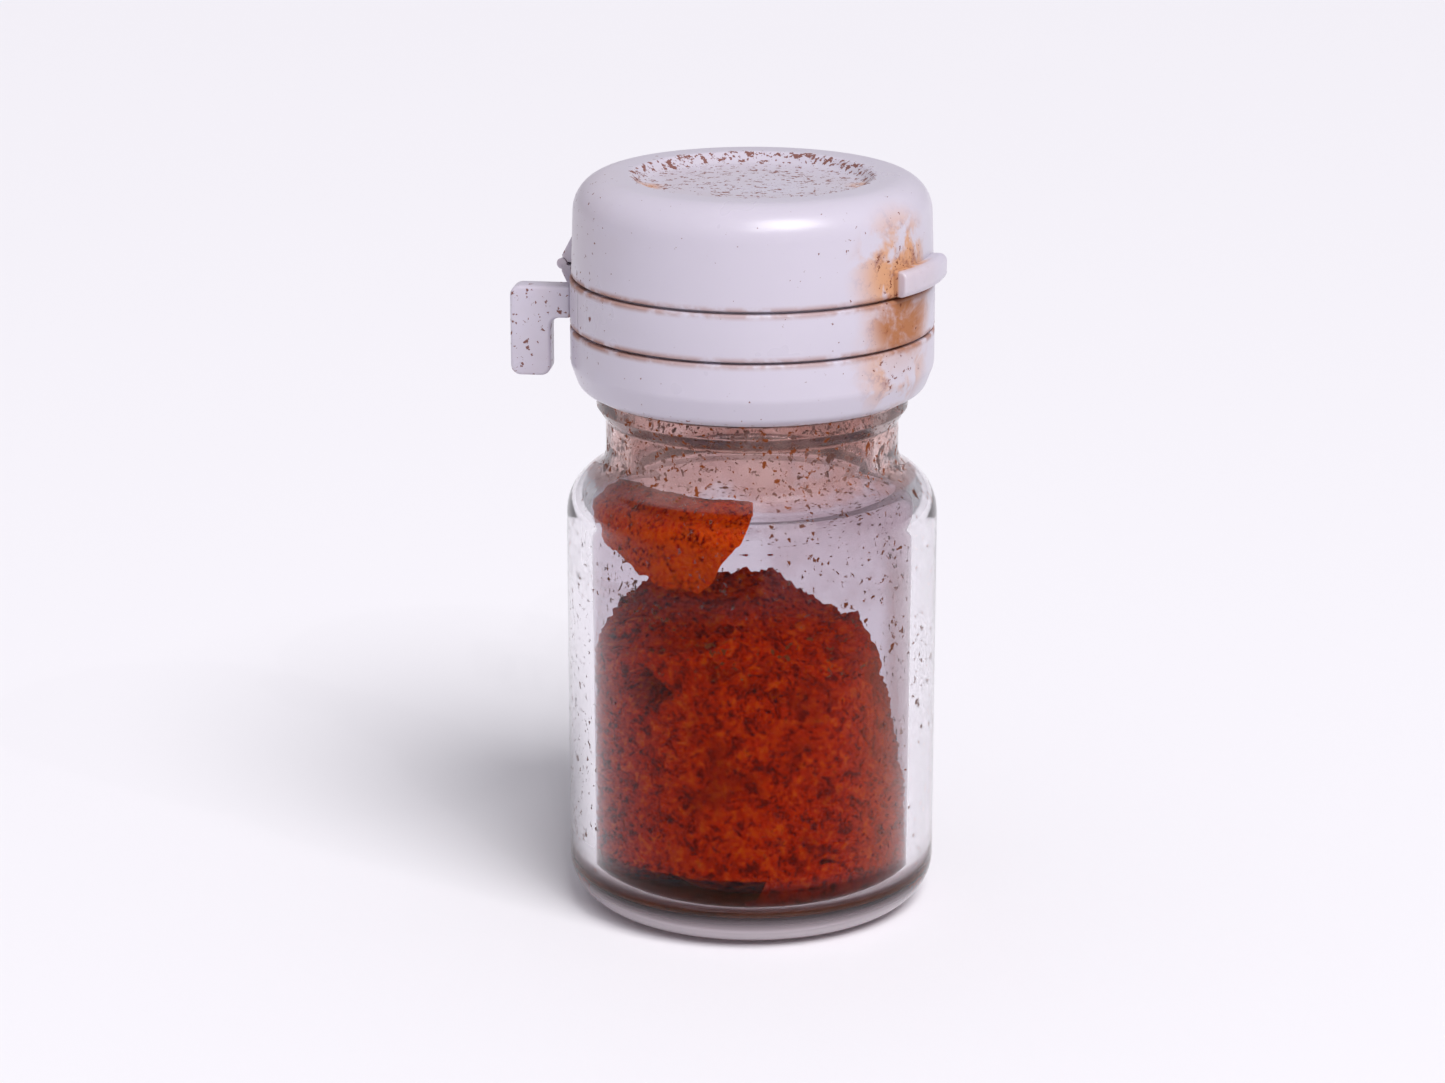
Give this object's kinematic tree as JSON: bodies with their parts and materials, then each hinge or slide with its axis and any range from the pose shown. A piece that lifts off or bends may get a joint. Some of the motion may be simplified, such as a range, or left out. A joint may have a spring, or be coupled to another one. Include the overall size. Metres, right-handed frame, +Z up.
{
  "type": "sample vial",
  "caption": "Clear glass sample vial of caked powder, closed by a white tear-off flip cap with a hinged lid, a plug seal, a thumb ledge and a pull tab.",
  "frame": {"origin": "on the vial's axis, at the underside of the glass floor", "axes": "+Z up along the axis of the glass, -Y towards the viewer, +X to the viewer's right; the lid hinge is at the back left and the thumb ledge at the front right"},
  "size_m": [0.0256, 0.022, 0.0442],
  "materials": {
    "glass": "clear, polished",
    "cap": "white moulded polyethylene, glossy, with powder dust",
    "powder": "dry granular powder, caked"
  },
  "bodies": {
    "vial": {"glass_vial": "glass", "powder_cake": "powder", "powder_loose": "powder", "powder_clump": "powder"},
    "cap": {"collar": "cap", "tear_strip": "cap", "lower_membrane": "cap", "upper_membrane": "cap", "hinge_strap": "cap", "film_hinge": "cap"},
    "lid": {"lid": "cap", "thumb_ledge": "cap", "plug_seal": "cap"},
    "tab": {"strip_leader": "cap", "pull_tab": "cap"}
  },
  "joints": [
    {"name": "cap_spin", "type": "hinge", "parent": "vial", "child": "cap", "pos_m": [0, 0, 0.033], "axis": [0, 0, 1], "continuous": true},
    {"name": "lid_hinge", "type": "hinge", "parent": "cap", "child": "lid", "pos_m": [-0.01046, 0.00466, 0.03831], "axis": [-0.4067, -0.9135, 0], "range_deg": [0, 125]},
    {"name": "pull_tab_peel", "type": "hinge", "parent": "cap", "child": "tab", "pos_m": [-0.01018, -0.00331, 0.03687], "axis": [0, 0, 1], "range_deg": [0, 60]}
  ]
}
